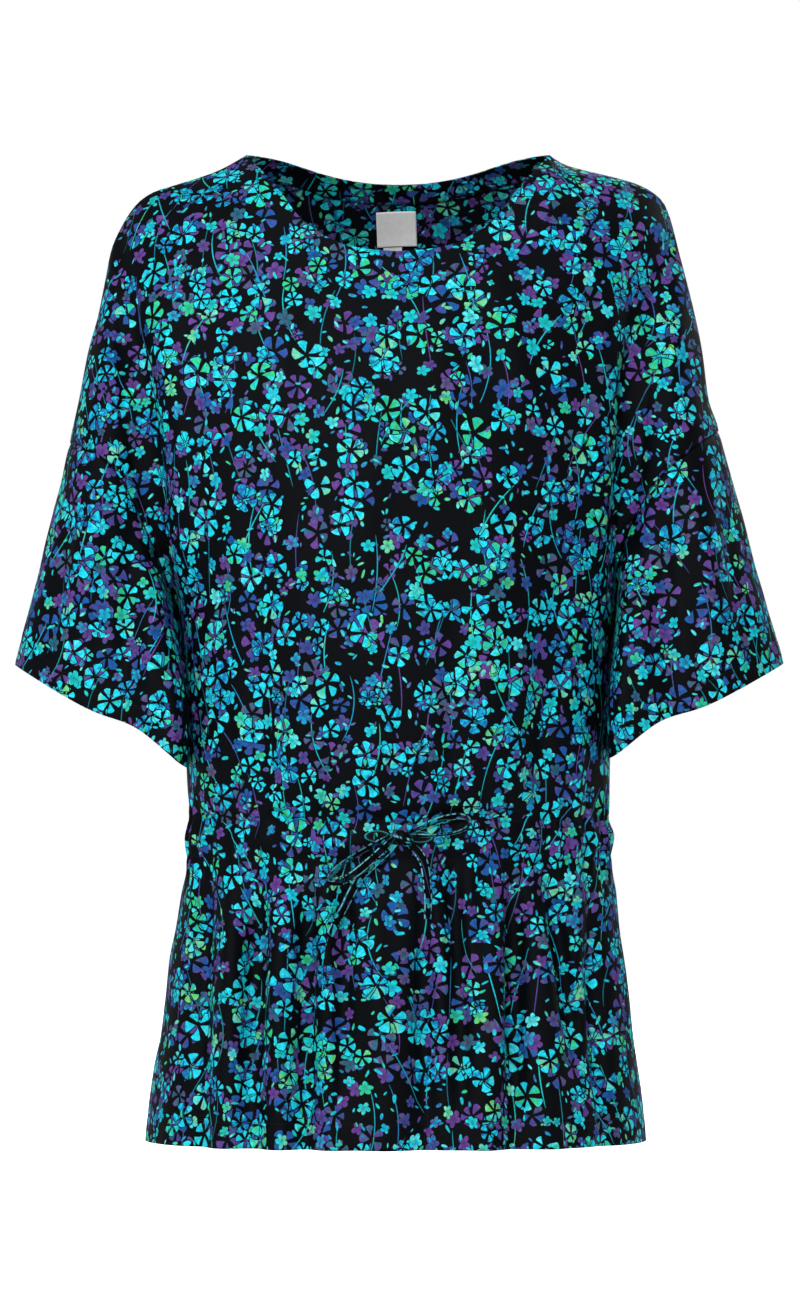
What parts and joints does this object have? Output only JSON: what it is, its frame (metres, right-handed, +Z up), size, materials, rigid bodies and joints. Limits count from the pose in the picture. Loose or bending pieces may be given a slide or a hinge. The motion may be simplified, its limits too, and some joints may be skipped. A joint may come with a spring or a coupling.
{
  "type": "blouse",
  "caption": "Loose drop-shoulder blouse in worn shape with nobody in it: wide neck, wide half sleeves, and a drawstring waist tied in a bow at the front.",
  "frame": {"origin": "halfway between the two points where the shoulder seams meet the neck, where a wearer's shoulders hold the garment up", "axes": "+Z up, -Y out of the front, +X to the right as the front is looked at"},
  "size_m": [0.568, 0.2598, 0.728],
  "materials": {
    "printed_cloth": "matt woven viscose with a small flower print on near-black",
    "printed_tie": "matt woven viscose, folded and stitched",
    "label_tape": "smooth white woven tape"
  },
  "bodies": {
    "root": {"front_body": "printed_cloth", "back_body": "printed_cloth", "sleeve_left": "printed_cloth", "sleeve_right": "printed_cloth", "back_neck_facing": "printed_cloth", "waist_channel_front": "printed_cloth", "waist_channel_back": "printed_cloth", "tie_knot": "printed_tie", "tie_loop_left": "printed_tie", "tie_loop_right": "printed_tie", "tie_tail_left": "printed_tie", "tie_tail_right": "printed_tie", "neck_label": "label_tape", "size_tab": "label_tape"}
  },
  "joints": []
}
